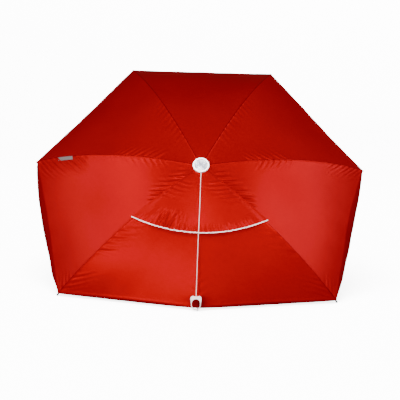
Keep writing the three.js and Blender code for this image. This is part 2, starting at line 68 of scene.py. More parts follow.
HINGE_RADIUS = float(np.linalg.norm(np.array(JOINTS["canopy_fold"]["pos_m"]) - HUB))

# ---- driving dimensions --------------------------------------------------------------------

TIP_RADIUS = 0.700  # a full rib's end, from the shaft's axis
TIP_DROP = 0.274  # a full rib's end, below the rib hinges
RIB_BOW = 0.062  # how far a rib arches above its chord
SHORT_RIB = 0.723  # rib 1's length, as a share of a full rib
HEM_SHARE = 0.994  # where the hem crosses a rib, as a share of that rib
CANOPY_START = 0.021  # where the cloth starts, from the shaft's axis
VENT_START = 0.28  # share of the lower gores that the vent leaves open, under the flap
CLOTH_LIFT = 0.0048  # the cloth's outer face, outside the rib's centre line
FLAP_LIFT = 0.0066  # the flap's face between its sewn edges, less FLAP_SEAT
FLAP_SEAT = 0.0011  # from the cloth's face to the flap's at the sewn edges
FLAP_RAISE = 0.009  # gap that the flap's edge keeps over the short rib
FLAP_SIDE_SHARE = 0.42  # flap's edge on the two side ribs
FLAP_MIDDLE_SHARE = 0.345  # flap's edge over the short rib
CAP_BOTTOM = 0.0076  # above the rib hinges
CAP_RADIUS = 0.032
CORD_RADIUS = 0.0014
CORD_INNER = 0.024  # the cord's start inside the cap, from the shaft's axis

CHORD = np.array([TIP_RADIUS - HINGE_RADIUS, -TIP_DROP])
CHORD_ANGLE = math.atan2(CHORD[1], CHORD[0])
ARC_RADIUS = (CHORD @ CHORD / 4 + RIB_BOW**2) / (2 * RIB_BOW)
ARC_HALF = math.asin(np.linalg.norm(CHORD) / 2 / ARC_RADIUS)
RIB_LENGTH = 2 * ARC_HALF * ARC_RADIUS
ARC_CENTRE = (
    np.array([HINGE_RADIUS, 0.0])
    + CHORD / 2
    + np.array([-math.sin(CHORD_ANGLE), math.cos(CHORD_ANGLE)]) * (RIB_BOW - ARC_RADIUS)
)
START_SHARE = (CANOPY_START - HINGE_RADIUS) / RIB_LENGTH


def rib_end(number):
    return SHORT_RIB if number == 1 else 1.0


def rib_direction(number):
    angle = -math.pi / 2 + (number - 1) * PITCH
    return math.cos(angle) * ACROSS + math.sin(angle) * UPWARD


def rib_point(number, share, lift=0.0):
    """Point of a rib's line, raised outside it by lift, in the shared frame."""
    angle = math.pi / 2 + CHORD_ANGLE + ARC_HALF * (1 - 2 * np.asarray(share, float))
    reach = ARC_RADIUS + np.asarray(lift, float)
    radius = ARC_CENTRE[0] + reach * np.cos(angle)
    height = ARC_CENTRE[1] + reach * np.sin(angle)
    return HUB + radius[..., None] * rib_direction(number) + height[..., None] * AXIS


def rib_slope(share):
    return CHORD_ANGLE + ARC_HALF * (1 - 2 * share)


def following(number):
    return number % RIBS + 1


def link_object(name, data):
    """A new object in the scene that shows the data."""
    obj = bpy.data.objects.new(name, data)
    bpy.context.collection.objects.link(obj)
    return obj


# ---- camera --------------------------------------------------------------------------------

CAMERA_PLACE = (-0.0448, -4.1467, 1.1248)
CAMERA_LENS = 91.7
CAMERA_PITCH = math.radians(-10.628)
CAMERA_HEADING = math.radians(-0.653)
CAMERA_ROLL = math.radians(1.655)


def make_camera():
    data = bpy.data.cameras.new("camera")
    data.lens = CAMERA_LENS
    data.sensor_width = 36
    camera = link_object("camera", data)
    heading = Matrix.Rotation(CAMERA_HEADING, 4, "Z")
    pitch = Matrix.Rotation(math.pi / 2 + CAMERA_PITCH, 4, "X")
    roll = Matrix.Rotation(CAMERA_ROLL, 4, "Z")
    camera.matrix_world = Matrix.Translation(CAMERA_PLACE) @ heading @ pitch @ roll
    bpy.context.scene.camera = camera


make_camera()

# ---- mesh helpers --------------------------------------------------------------------------


def smoothstep(low, high, value):
    t = np.clip((np.asarray(value, float) - low) / (high - low), 0, 1)
    return t * t * (3 - 2 * t)


def grid_normals(points):
    """Unit normals of a grid of points, on the side that the cap faces."""
    down = np.gradient(points, axis=0)
    side = np.gradient(points, axis=1)
    normals = np.cross(side, down)
    normals /= np.maximum(np.linalg.norm(normals, axis=-1, keepdims=True), 1e-12)
    facing = np.sign(np.mean(normals @ AXIS))
    return normals * facing


def step_lengths(line):
    """Distances between the neighbouring points of a line."""
    return np.linalg.norm(np.diff(line, axis=0), axis=1)


def add_mesh(name, vertices, faces, uvs=None, normals=None, painted_shade=None):
    """A linked mesh object; the uvs, the normals and the shares of painted shade hold one entry for each vertex.
    """
    mesh = bpy.data.meshes.new(name)
    mesh.from_pydata([tuple(v) for v in vertices], [], [tuple(f) for f in faces])
    mesh.validate()
    if uvs is not None:
        layer = mesh.uv_layers.new(name="cloth")
        loops = np.zeros(len(mesh.loops), np.int32)
        mesh.loops.foreach_get("vertex_index", loops)
        layer.data.foreach_set("uv", np.asarray(uvs, np.float32)[loops].ravel())
    mesh.polygons.foreach_set("use_smooth", [True] * len(mesh.polygons))
    if painted_shade is not None:
        layer = mesh.attributes.new("painted_shade", "FLOAT", "POINT")
        layer.data.foreach_set("value", np.asarray(painted_shade, np.float32))
    if normals is not None:
        mesh.normals_split_custom_set_from_vertices([tuple(n) for n in normals])
    return link_object(name, mesh)


def placing(x_axis, y_axis, z_axis, origin):
    """Matrix that moves a piece drawn on the world's axes onto these axes and this origin."""
    rows = np.stack([x_axis, y_axis, z_axis, origin], -1)
    return Matrix([*rows.tolist(), [0, 0, 0, 1]])


def grid_faces(rows, columns, first=0, closed=False):
    """Quads of a grid of rows by columns of vertices, numbered row by row from first."""
    quads = []
    last = columns if closed else columns - 1
    for row in range(rows - 1):
        for column in range(last):
            a = first + row * columns + column
            b = first + row * columns + (column + 1) % columns
            quads.append((a, b, b + columns, a + columns))
    return quads


def turned_rings(profile, sides):
    """Points round z, one ring for each (radius, height) point of a profile."""
    angles = np.arange(sides) * 2 * math.pi / sides
    rings = [(r * np.cos(angles), r * np.sin(angles), np.full(sides, z)) for r, z in profile]
    return np.vstack([np.stack(ring, -1) for ring in rings])


def turned(name, profile, sides):
    """A solid round the shaft, from (radius, height above the rib hinges) points."""
    vertices = turned_rings(profile, sides)
    faces = grid_faces(len(profile), sides, closed=True)
    faces = [face[::-1] for face in faces]
    faces.append(tuple(range(sides))[::-1])
    faces.append(tuple(range(len(vertices) - sides, len(vertices))))
    obj = add_mesh(name, vertices, faces)
    obj.data.transform(placing(ACROSS, UPWARD, AXIS, HUB))
    return obj


def swept(name, centres, section, normals):
    """A tube along centres: section is a closed list of (sideways, outward) offsets."""
    centres = np.asarray(centres, float)
    normals = np.asarray(normals, float)
    tangents = np.gradient(centres, axis=0)
    tangents /= np.linalg.norm(tangents, axis=1, keepdims=True)
    sideways = np.cross(tangents, normals)
    sideways /= np.linalg.norm(sideways, axis=1, keepdims=True)
    outward = np.cross(sideways, tangents)
    section = np.asarray(section, float)
    rings = (
        centres[:, None]
        + sideways[:, None] * section[None, :, :1]
        + outward[:, None] * section[None, :, 1:]
    )
    count = len(section)
    vertices = rings.reshape(-1, 3)
    faces = grid_faces(len(centres), count, closed=True)
    faces.append(tuple(range(count))[::-1])
    faces.append(tuple(range(len(vertices) - count, len(vertices))))
    along = np.concatenate([[0], np.cumsum(step_lengths(centres))])
    turn = np.arange(count) / count
    uvs = np.stack(np.meshgrid(along, turn, indexing="ij"), -1).reshape(-1, 2)
    return add_mesh(name, vertices, faces, uvs=uvs)


def ellipse(half_width, half_height, sides):
    angles = np.arange(sides) * 2 * math.pi / sides
    return np.stack([half_width * np.cos(angles), half_height * np.sin(angles)], -1)


# ---- node helpers --------------------------------------------------------------------------


class Shader:
    """A small wrapper that makes and links shader nodes."""

    def __init__(self, name):
        self.material = bpy.data.materials.new(name)
        self.material.use_nodes = True
        self.tree = self.material.node_tree
        self.principled = self.tree.nodes["Principled BSDF"]

    def node(self, kind, **values):
        made = self.tree.nodes.new(kind)
        for key, value in values.items():
            setattr(made, key, value)
        return made

    def link(self, source, target):
        self.tree.links.new(source, target)

    def feed(self, target, value):
        if isinstance(value, bpy.types.NodeSocket):
            self.link(value, target)
        else:
            target.default_value = value

    def set(self, **values):
        for key, value in values.items():
            self.feed(self.principled.inputs[key.replace("_", " ")], value)

    def math(self, operation, first, second=0.0):
        made = self.node("ShaderNodeMath", operation=operation)
        self.feed(made.inputs[0], first)
        self.feed(made.inputs[1], second)
        return made.outputs[0]

    def mix(self, share, first, second):
        """Blend of two colours; second may be a plain colour."""
        made = self.node("ShaderNodeMix", data_type="RGBA")
        self.link(share, made.inputs["Factor"])
        self.link(first, made.inputs["A"])
        made.inputs["B"].default_value = second
        return made.outputs["Result"]

    def parts(self, vector):
        """The x, y and z of a vector."""
        made = self.node("ShaderNodeSeparateXYZ")
        self.link(vector, made.inputs[0])
        return tuple(made.outputs)

    def noise(self, scale, detail=4.0, roughness=0.5, vector=None, stretch=None):
        if vector is None:
            vector = self.node("ShaderNodeTexCoord").outputs["Object"]
        if stretch is not None:
            mapping = self.node("ShaderNodeMapping")
            mapping.inputs["Scale"].default_value = stretch
            self.link(vector, mapping.inputs["Vector"])
            vector = mapping.outputs[0]
        made = self.node("ShaderNodeTexNoise")
        made.inputs["Scale"].default_value = scale
        made.inputs["Detail"].default_value = detail
        made.inputs["Roughness"].default_value = roughness
        self.link(vector, made.inputs["Vector"])
        return made.outputs["Fac"]

    def ramp(self, value, stops):
        made = self.node("ShaderNodeValToRGB")
        elements = made.color_ramp.elements
        while len(elements) < len(stops):
            elements.new(0.5)
        for element, (position, colour) in zip(elements, stops):
            element.position = position
            element.color = (*colour, 1)
        self.link(value, made.inputs["Fac"])
        return made.outputs["Color"]

    def spread(self, value, low, high):
        """Map a 0 to 1 value to low to high."""
        made = self.node("ShaderNodeMapRange")
        made.inputs["To Min"].default_value = low
        made.inputs["To Max"].default_value = high
        self.link(value, made.inputs["Value"])
        return made.outputs["Result"]

    def bump(self, height, strength, distance):
        made = self.node("ShaderNodeBump")
        made.inputs["Strength"].default_value = strength
        made.inputs["Distance"].default_value = distance
        self.link(height, made.inputs["Height"])
        self.link(made.outputs["Normal"], self.principled.inputs["Normal"])


def woven_height(shader, uv, thread):
    """Height of a plain weave with threads of that spacing, in the uv map's metres."""
    waves = []
    for part in shader.parts(uv)[:2]:
        phase = shader.math("MULTIPLY", part, 2 * math.pi / thread)
        waves.append(shader.math("SINE", phase))
    return shader.math("MULTIPLY", waves[0], waves[1])


def dashes(shader, along, across, offset, width, pitch):
    """1 on a stitched line at an offset either side of the rib, with a gap after each stitch."""
    aside = shader.math("ABSOLUTE", across)
    distance = shader.math("ABSOLUTE", shader.math("SUBTRACT", aside, offset))
    line = shader.math("LESS_THAN", distance, width / 2)
    phase = shader.math("FRACT", shader.math("DIVIDE", along, pitch))
    stitch = shader.math("LESS_THAN", phase, 0.72)
    return shader.math("MULTIPLY", line, stitch)


SHADE = 0.25  # share of its colour that cloth keeps under painted shade: in the seams' grooves, along the hems and round the short rib's end
STITCH_OFFSET = 0.0032
STITCH_WIDTH = 0.0007
STITCH_PITCH = 0.0032
# painted shade: a dark line along each seam beside a rib
SEAM_SHADE = {"From Min": 0.0012, "From Max": 0.0026, "To Min": 0.5, "To Max": 0.0}


def shaded(colour):
    return tuple(c * SHADE for c in colour)


def cloth_material(
    name, colour, dark, light, gloss=(1, 1, 1), gloss_ior=1.3, thread=0.0004, roughness=0.62, seams=True
):
    """Plain weave; seams adds the stitches beside a rib, a painted shade line in the seam's groove, and painted
    shade on hems and the short rib's end.
    """
    shader = Shader(name)
    uv = shader.node("ShaderNodeUVMap", uv_map="cloth").outputs[0]
    broad = shader.noise(3.2, detail=3)
    fine = shader.noise(90, detail=5)
    tone = shader.math("ADD", shader.math("MULTIPLY", broad, 0.7), shader.math("MULTIPLY", fine, 0.3))
    base = shader.ramp(tone, [(0.3, dark), (0.5, colour), (0.72, light)])
    height = shader.math("MULTIPLY", woven_height(shader, uv, thread), 0.25)
    height = shader.math("ADD", height, shader.math("MULTIPLY", fine, 0.4))
    if seams:
        across, along, _ = shader.parts(uv)
        stitches = dashes(shader, along, across, STITCH_OFFSET, STITCH_WIDTH, STITCH_PITCH)
        base = shader.mix(stitches, base, (*light, 1))
        height = shader.math("ADD", height, shader.math("MULTIPLY", stitches, 1.5))
        # painted shade in the seam's groove
        groove = shader.node("ShaderNodeMapRange", interpolation_type="SMOOTHSTEP")
        shader.link(shader.math("ABSOLUTE", across), groove.inputs["Value"])
        for socket, value in SEAM_SHADE.items():
            groove.inputs[socket].default_value = value
        base = shader.mix(groove.outputs["Result"], base, (*shaded(dark), 1))
        # painted shade on hems and round the short rib's end, which dulls the gloss as well
        painted_shade = shader.node("ShaderNodeAttribute", attribute_name="painted_shade").outputs["Fac"]
        base = shader.mix(painted_shade, base, (*shaded(dark), 1))
        shader.set(Specular_Tint=shader.ramp(painted_shade, [(0.0, gloss), (1.0, shaded(gloss))]))
    else:
        shader.set(Specular_Tint=(*gloss, 1))
    shader.set(Base_Color=base, Roughness=shader.spread(fine, roughness - 0.06, roughness + 0.08))
    shader.set(IOR=gloss_ior, Specular_IOR_Level=1.0)
    shader.bump(height, 0.3, 0.0003)
    return shader.material


def plastic_material(name, colour, roughness, variation=0.06, bump=0.1, scale=160):
    shader = Shader(name)
    grain = shader.noise(scale, detail=6)
    broad = shader.noise(scale / 12, detail=2)
    dark = tuple(c * (1 - variation) for c in colour)
    light = tuple(min(1.0, c * (1 + variation)) for c in colour)
    shader.set(Base_Color=shader.ramp(broad, [(0.3, dark), (0.7, light)]))
    shader.set(Roughness=shader.spread(grain, roughness * 0.85, min(1.0, roughness * 1.15)))
    shader.bump(grain, bump, 0.0003)
    return shader.material


def metal_material(name, colour, roughness, stretch=(1, 1, 30)):
    shader = Shader(name)
    brushed = shader.noise(60, detail=5, stretch=stretch)
    dark = tuple(c * 0.82 for c in colour)
    shader.set(Base_Color=shader.ramp(brushed, [(0.3, dark), (0.7, colour)]), Metallic=1.0)
    shader.set(Roughness=shader.spread(brushed, roughness * 0.75, roughness * 1.3))
    shader.bump(brushed, 0.08, 0.0002)
    return shader.material


def braided_material(name, colour, dark):
    """A round braid: two sets of diagonal strands over the tube's uv map."""
    shader = Shader(name)
    uv = shader.node("ShaderNodeUVMap", uv_map="cloth").outputs[0]
    lengthways, turn, _ = shader.parts(uv)
    along = shader.math("MULTIPLY", lengthways, 2 * math.pi / 0.004)
    around = shader.math("MULTIPLY", turn, 2 * math.pi * 4)
    first = shader.math("SINE", shader.math("ADD", along, around))
    second = shader.math("SINE", shader.math("SUBTRACT", along, around))
    strands = shader.math("ABSOLUTE", shader.math("MULTIPLY", first, second))
    # the dark between the strands is painted shade
    shader.set(Base_Color=shader.ramp(strands, [(0.05, dark), (0.5, colour)]))
    shader.set(Roughness=0.75, Sheen_Weight=0.3)
    shader.bump(strands, 0.5, 0.0005)
    return shader.material


RED = (0.46, 0.0008, 0.0048)
RED_DARK = (0.41, 0.0006, 0.0042)
RED_LIGHT = (0.51, 0.0012, 0.0056)
RED_GLOSS = (1.0, 0.001, 0.009)
red_cloth = cloth_material("red_satin", RED, RED_DARK, RED_LIGHT, RED_GLOSS, 1.95, roughness=0.36)
flap_cloth = cloth_material(
    "red_flap", RED, RED_DARK, RED_LIGHT, RED_GLOSS, 1.95, roughness=0.36, seams=False
)
# the pink in this white tape is painted red light, bounced off the cloth
white_tape = cloth_material(
    "white_binding_tape",
    (0.92, 0.68, 0.66),
    (0.86, 0.60, 0.58),
    (0.95, 0.76, 0.74),
    thread=0.0008,
    seams=False,
)
grey_label = cloth_material(
    "grey_woven_label",
    (0.27, 0.20, 0.20),
    (0.20, 0.14, 0.14),
    (0.36, 0.28, 0.28),
    thread=0.0009,
    seams=False,
)
# the pink in this white cord is painted red light, bounced off the cloth
white_cord = braided_material("white_braided_cord", (0.95, 0.60, 0.57), (0.7, 0.38, 0.36))
# the pink in these white plastics is painted red light, bounced off the cloth
white_plastic = plastic_material("white_moulded_plastic", (0.88, 0.81, 0.80), 0.32, 0.03, 0.05)
ring_plastic = plastic_material("white_ring_plastic", (0.90, 0.70, 0.69), 0.32, 0.03, 0.05)
black_plastic = plastic_material("black_moulded_nylon", (0.018, 0.018, 0.020), 0.5, 0.2)
grip_foam = plastic_material("black_foam_grip", (0.022, 0.022, 0.024), 0.9, 0.3, 0.7, 700)
fibreglass = plastic_material("black_fibreglass_rod", (0.025, 0.025, 0.028), 0.38, 0.2, 0.06)
shaft_lacquer = plastic_material("black_lacquered_shaft", (0.03, 0.03, 0.034), 0.22, 0.1, 0.03)
bright_steel = metal_material("brushed_spring_steel", (0.62, 0.62, 0.64), 0.3)

# ---- wrinkles ------------------------------------------------------------------------------


def ripples(along, out, period, lean, seed):
    """Irregular ridges: along the rib by period, leaning towards the hub as they go out."""
    phase = (along + lean * out) / period
    drift = 0.9 * np.sin(along * 23 + seed * 1.7) + 0.5 * np.sin(out * 61 + seed)
    wave = np.sin(2 * math.pi * phase + drift + seed)
    second = np.sin(2 * math.pi * phase * 0.61 + seed * 2.3 + out * 37)
    return wave * (0.65 + 0.35 * second)


class Pucker:
    """Ripples beside a rib, between two shares of its length, that fade out at a distance."""

    def __init__(self, rib, side, start, end, reach, period, height, lean=0.8, seed=0.0):
        self.rib, self.side, self.start, self.end = rib, side, start, end
        self.reach, self.period, self.height = reach, period, height
        self.lean, self.seed = lean, seed

    def displacement(self, share, out):
        fade = 0.22 * (self.end - self.start)
        window = smoothstep(self.start, self.start + fade, share)
        window = window * (1 - smoothstep(self.end - fade, self.end, share))
        depth = np.exp(-((out / self.reach) ** 2)) * smoothstep(0, 0.006, out)
        along = share * RIB_LENGTH
        return self.height * window * depth * ripples(along, out, self.period, self.lean, self.seed)


# rib, side (+1 towards the following rib), start and end as shares of the rib's length, reach
# outwards, period and height in metres, lean and seed
PUCKERS = [
    Pucker(6, 1, 0.60, 1.02, 0.062, 0.030, 0.0046, 0.95, 1.0),
    Pucker(6, 1, 0.10, 0.60, 0.030, 0.026, 0.0008, 0.4, 2.0),
    Pucker(6, -1, 0.16, 0.50, 0.042, 0.026, 0.0030, 0.35, 3.0),
    Pucker(6, -1, 0.60, 0.98, 0.030, 0.030, 0.0008, 0.4, 3.4),
    Pucker(3, -1, 0.26, 0.52, 0.034, 0.026, 0.0016, 0.3, 4.0),
    Pucker(3, -1, 0.70, 1.02, 0.040, 0.028, 0.0012, 1.0, 4.6),
    Pucker(3, 1, 0.20, 0.50, 0.042, 0.026, 0.0030, 0.35, 5.0),
    Pucker(5, 1, 0.12, 0.56, 0.040, 0.026, 0.0024, 0.1, 6.0),
    Pucker(5, -1, 0.10, 0.85, 0.025, 0.030, 0.0006, 0.1, 6.5),
    Pucker(4, -1, 0.12, 0.60, 0.040, 0.026, 0.0024, 0.1, 7.0),
    Pucker(4, 1, 0.10, 0.85, 0.025, 0.030, 0.0006, 0.1, 7.5),
    Pucker(7, -1, 0.06, 0.33, 0.034, 0.031, 0.0058, -1.4, 8.0),
    Pucker(7, 1, 0.44, 0.72, 0.060, 0.038, 0.0018, 0.1, 8.4),
    Pucker(7, 1, 0.80, 0.99, 0.070, 0.034, 0.0007, 0.5, 8.8),
    Pucker(7, -1, 0.86, 0.99, 0.040, 0.024, 0.0010, 0.3, 9.2),
    Pucker(2, 1, 0.06, 0.36, 0.036, 0.031, 0.0058, -1.4, 9.6),
    Pucker(2, -1, 0.44, 0.72, 0.050, 0.044, 0.0010, 0.1, 10.0),
    Pucker(2, -1, 0.80, 0.99, 0.070, 0.034, 0.0007, 0.5, 10.4),
    Pucker(2, 1, 0.86, 0.99, 0.040, 0.024, 0.0010, 0.3, 10.8),
    Pucker(1, 1, 0.50, 0.72, 0.035, 0.030, 0.0007, 0.3, 11.2),
    Pucker(1, -1, 0.50, 0.72, 0.035, 0.030, 0.0007, 0.3, 11.6),
]


def gore_wrinkles(gore, down, across, share_here, share_there, width):
    """Height of the wrinkles over a gore that runs from rib gore to the following rib."""
    height = np.zeros_like(down)
    for pucker in PUCKERS:
        if pucker.rib == gore and pucker.side == 1:
            height += pucker.displacement(share_here, across * width)
        if pucker.rib == following(gore) and pucker.side == -1:
            height += pucker.displacement(share_there, (1 - across) * width)
    middle = np.sin(math.pi * across)
    swell = np.sin(7.3 * down + 2.1 * gore) * np.sin(2 * math.pi * across + gore)
    slow = np.sin(13.1 * down + 1.3 * gore + 4 * across)
    height += middle * smoothstep(0.1, 0.5, down) * (0.0016 * swell + 0.0008 * slow)
    tension = np.sin(2 * math.pi * (across * 5 + 0.3 * np.sin(gore)))
    height += 0.0005 * middle * smoothstep(0.75, 1, down) * tension
    return height


# ---- canopy --------------------------------------------------------------------------------

GORE_ROWS = 160
HALF_COLUMNS = 40
HEM_ROWS = 8
SIDE_BULGE = {2: 0.017, 6: 0.032}  # how far the side gores reach past the line between two rib ends
SIDE_ROLL = (0.020, 0.042, 0.014)  # start before the hem, radius and depth of the turned-in edge
PLAIN_ROLL = (0.008, 0.018, 0.005)
SIDE_BAND = 0.038  # width of the painted shade along the side gores' turned-in hem, at its middle
PLAIN_BAND = 0.006
GORE_SAG = 0.004
SEAM_RISE = 0.0007  # the felled seam over a rib
HEM_RISE = 0.0006  # the doubled cloth of the hem
TIP_SHADE_START = (0.655, 0.675)  # the painted shade at the short rib's end, beneath the finger ring, begins between these shares
TIP_SHADE_REACH = 0.034
HEM_SHADE = 0.55  # how much painted shade darkens the hem band


def column_shares():
    """Columns from 0 to 1 across a gore, closer together beside both ribs."""
    half = 0.5 * (np.arange(HALF_COLUMNS + 1) / HALF_COLUMNS) ** 1.45
    return np.concatenate([half, 1 - half[-2::-1]])


def hem_belly(gore, across):
    """How far the hem hangs out between two ribs, from 0 to 1; a side gore's is fullest high up."""
    if gore not in SIDE_BULGE:
        return (4 * across * (1 - across)) ** 0.6
    low = across if gore == 6 else 1 - across
    belly = np.minimum(1, low / 0.36) ** 0.8 * (1 - smoothstep(0.80, 1, low))
    return belly * (1 - 0.5 * smoothstep(0.46, 0.74, low))


def gore_grid(gore):
    """Points, normals, uvs and shares of painted shade of a gore between a rib and the following one."""
    rows = np.arange(GORE_ROWS + 1) / GORE_ROWS
    down, across = np.meshgrid(rows, column_shares(), indexing="ij")
    other = following(gore)
    belly = hem_belly(gore, across)
    beyond = SIDE_BULGE.get(gore, 0.0) / RIB_LENGTH * belly * smoothstep(0.6, 1, down)
    share_here = START_SHARE + (HEM_SHARE * rib_end(gore) - START_SHARE) * down + beyond
    share_there = START_SHARE + (HEM_SHARE * rib_end(other) - START_SHARE) * down + beyond
    here = rib_point(gore, share_here, CLOTH_LIFT)
    there = rib_point(other, share_there, CLOTH_LIFT)
    width = np.linalg.norm(there - here, axis=-1)
    flat = here + (there - here) * across[..., None]
    normals = grid_normals(flat)
    out = np.minimum(across, 1 - across) * width
    height = gore_wrinkles(gore, down, across, share_here, share_there, width)
    height -= GORE_SAG * np.sin(math.pi * across) * np.sin(math.pi * down) ** 0.7
    height += SEAM_RISE * (1 - smoothstep(0.002, 0.0055, out))
    height += HEM_RISE * smoothstep(1 - 0.020, 1 - 0.018, down)
    start, radius, depth = SIDE_ROLL if gore in SIDE_BULGE else PLAIN_ROLL
    near_hem = np.maximum(0, start - (1 - down) * RIB_LENGTH) * belly
    height -= near_hem**2 / (2 * radius)
    points = flat + normals * height[..., None]
    edge = hem_rows(points, normals, belly[-1], start / radius, depth)
    points = np.concatenate([points, edge])
    run = np.concatenate([rows, 1 + (np.arange(HEM_ROWS) + 1) / HEM_ROWS * depth / RIB_LENGTH])
    along = run[:, None] * RIB_LENGTH * np.ones_like(across[0])[None]
    full_width = np.concatenate([width, np.repeat(width[-1:], HEM_ROWS, axis=0)])
    sideways = np.where(across[0] <= 0.5, across[0], across[0] - 1)[None] * full_width
    # painted shade: a dark band along the hem, where the cloth turns in, and round the short rib's end
    band = (SIDE_BAND if gore in SIDE_BULGE else PLAIN_BAND) * np.minimum(1, belly[-1])
    painted_shade = HEM_SHADE * smoothstep(-0.006, 0.004, along - RIB_LENGTH + band[None])
    painted_shade = np.maximum(painted_shade, tip_painted_shade(gore, share_here, share_there, sideways))
    return points, grid_normals(points), np.stack([sideways, along], -1), painted_shade


def tip_painted_shade(gore, share_here, share_there, sideways):
    """How strongly painted shade darkens the cloth round the short rib's end, beneath the finger ring."""
    tip_shade = np.zeros_like(sideways)
    for rib, share, side in ((gore, share_here, 1), (following(gore), share_there, -1)):
        if rib != 1:
            continue
        share = np.concatenate([share, np.repeat(share[-1:], HEM_ROWS, axis=0)])
        near = np.exp(-((sideways / TIP_SHADE_REACH) ** 2)) * (sideways * side >= 0)
        tip_shade = np.maximum(tip_shade, near * smoothstep(*TIP_SHADE_START, share))
    return tip_shade


def hem_rows(points, normals, belly, bend, depth):
    """The edge beyond the hem line, rolling on inwards from the bend it has there."""
    direction = points[-1] - points[-3]
    direction /= np.linalg.norm(direction, axis=1, keepdims=True)
    inward = -normals[-1] - direction * np.sum(-normals[-1] * direction, axis=1, keepdims=True)
    inward /= np.linalg.norm(inward, axis=1, keepdims=True)
    rows = []
    place = points[-1]
    for row in range(HEM_ROWS):
        angle = bend * (row + 1) / HEM_ROWS * belly[:, None]
        step = direction * np.cos(angle) + inward * np.sin(angle)
        place = place + step * ((0.001 + depth * belly) / HEM_ROWS)[:, None]
        rows.append(place)
    return np.array(rows)


def is_vented(gore):
    return gore in (7, 1)


def canopy_panel(number, grids):
    """One rib's panel: the following gore's first half and the previous gore's second half."""
    previous = (number - 2) % RIBS + 1
    middle = HALF_COLUMNS
    rows = GORE_ROWS + HEM_ROWS + 1
    vent_row = round(VENT_START * GORE_ROWS)
    before = [part[:, middle:] for part in grids[previous]]
    after = [part[:, : middle + 1] for part in grids[number]]
    joined = [np.concatenate([a, b[:, 1:]], axis=1) for a, b in zip(before, after)]
    points, normals, uvs, painted_shade = joined
    ridge = before[1][:, -1] + after[1][:, 0]
    normals[:, middle] = ridge / np.linalg.norm(ridge, axis=1, keepdims=True)
    columns = points.shape[1]
    faces = []
    for row in range(rows - 1):
        for column in range(columns - 1):
            gore = previous if column < middle else number
            if is_vented(gore) and row < vent_row:
                continue
            a = row * columns + column
            faces.append((a, a + columns, a + columns + 1, a + 1))
    used = sorted({index for face in faces for index in face})
    renumber = {old: new for new, old in enumerate(used)}
    faces = [tuple(renumber[index] for index in face) for face in faces]
    obj = add_mesh(
        f"canopy_cloth_{number}",
        points.reshape(-1, 3)[used],
        faces,
        uvs.reshape(-1, 2)[used],
        normals.reshape(-1, 3)[used],
        painted_shade.reshape(-1)[used],
    )
    obj.data.materials.append(red_cloth)
    return obj


def crumple(obj):
    """Gives the piece a mesh of its own."""
    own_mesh(obj)


def make_canopy():
    grids = {gore: gore_grid(gore) for gore in range(1, RIBS + 1)}
    for number in range(1, RIBS + 1):
        panel = canopy_panel(number, grids)
        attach(panel, f"rib_{number}")
        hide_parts(f"canopy_panel_{number}")
        crumple(panel)


make_canopy()

# ---- vent flap and binding -----------------------------------------------------------------

white_trim = []  # pieces that the trim light reaches
cap_pieces = []  # pieces that the cap light reaches

FLAP_ROWS = 64
FLAP_COLUMNS = 128
FLAP_OVERLAP = 0.012  # the sewn edge past the side ribs, as a share of the flap's width
FLAP_PARTS = {"left": (0, 32, 7), "middle": (32, 96, 1), "right": (96, 128, 2)}  # columns, rib
PIPING_HALF_WIDTH = 0.0023
PIPING_HALF_HEIGHT = 0.0017
PIPING_RISE = 0.0012


def flap_edge_share(across):
    return FLAP_MIDDLE_SHARE + (FLAP_SIDE_SHARE - FLAP_MIDDLE_SHARE) * (2 * across - 1) ** 2


def flap_surface(share, across, lift):
    """The flap bends smoothly through ribs 7 and 2 and over the short rib between them."""
    raised = FLAP_RAISE * np.minimum(1, share / flap_edge_share(across)) ** 2
    left = rib_point(7, share, lift)
    middle = rib_point(1, share, lift + raised)
    right = rib_point(2, share, lift)
    weights = (
        2 * (across - 0.5) * (across - 1),
        4 * across * (1 - across),
        2 * across * (across - 0.5),
    )
    return sum(w[..., None] * p for w, p in zip(weights, (left, middle, right)))


def flap_wrinkles(down, across, share):
    """Short creases beside the side ribs, and gathers along the bound edge."""
    width = 2 * (HINGE_RADIUS + share * RIB_LENGTH) * math.sin(PITCH)
    along = share * RIB_LENGTH
    height = np.zeros_like(down)
    for out, seed, gain in ((across * width, 2.0, 0.5), ((1 - across) * width, 5.0, 1.0)):
        window = smoothstep(0.16, 0.3, down) * (1 - smoothstep(0.5, 0.68, down))
        depth = np.exp(-((out / 0.036) ** 2))
        height += gain * 0.0022 * window * depth * ripples(along, out, 0.024, 0.6, seed)
    left = np.exp(-(((across - 0.19) / 0.10) ** 2)) * smoothstep(0.66, 0.88, down)
    folds = np.sin(2 * math.pi * (across * 12 + 0.8 * np.sin(across * 41) - 1.6 * down))
    height += 0.0068 * left * np.sign(folds) * np.abs(folds) ** 1.4
    gather = smoothstep(0.84, 0.97, down)
    small = np.sin(2 * math.pi * across * 30 + 3 * np.sin(across * 29) + 7 * down)
    height += gather * (0.0010 + 0.0022 * np.sin(across * 23) ** 2) * small
    height += 0.0012 * smoothstep(0.3, 0.9, down) * np.sin(9 * across + 5 * down)
    return height * smoothstep(0, 0.02, across) * smoothstep(0, 0.02, 1 - across)


def flap_grid():
    rows = np.arange(FLAP_ROWS + 1) / FLAP_ROWS
    columns = np.linspace(-FLAP_OVERLAP, 1 + FLAP_OVERLAP, FLAP_COLUMNS + 1)
    down, across = np.meshgrid(rows, columns, indexing="ij")
    share = START_SHARE + (flap_edge_share(across) - START_SHARE) * down
    edge = smoothstep(0, 0.03, np.minimum(across, 1 - across))
    lift = CLOTH_LIFT + FLAP_SEAT + (FLAP_LIFT - CLOTH_LIFT) * edge
    flat = flap_surface(share, across, lift)
    normals = grid_normals(flat)
    points = flat + normals * flap_wrinkles(down, across, share)[..., None]
    width = 2 * (HINGE_RADIUS + share * RIB_LENGTH) * math.sin(PITCH)
    uvs = np.stack([across * width, share * RIB_LENGTH], -1)
    return points, grid_normals(points), uvs


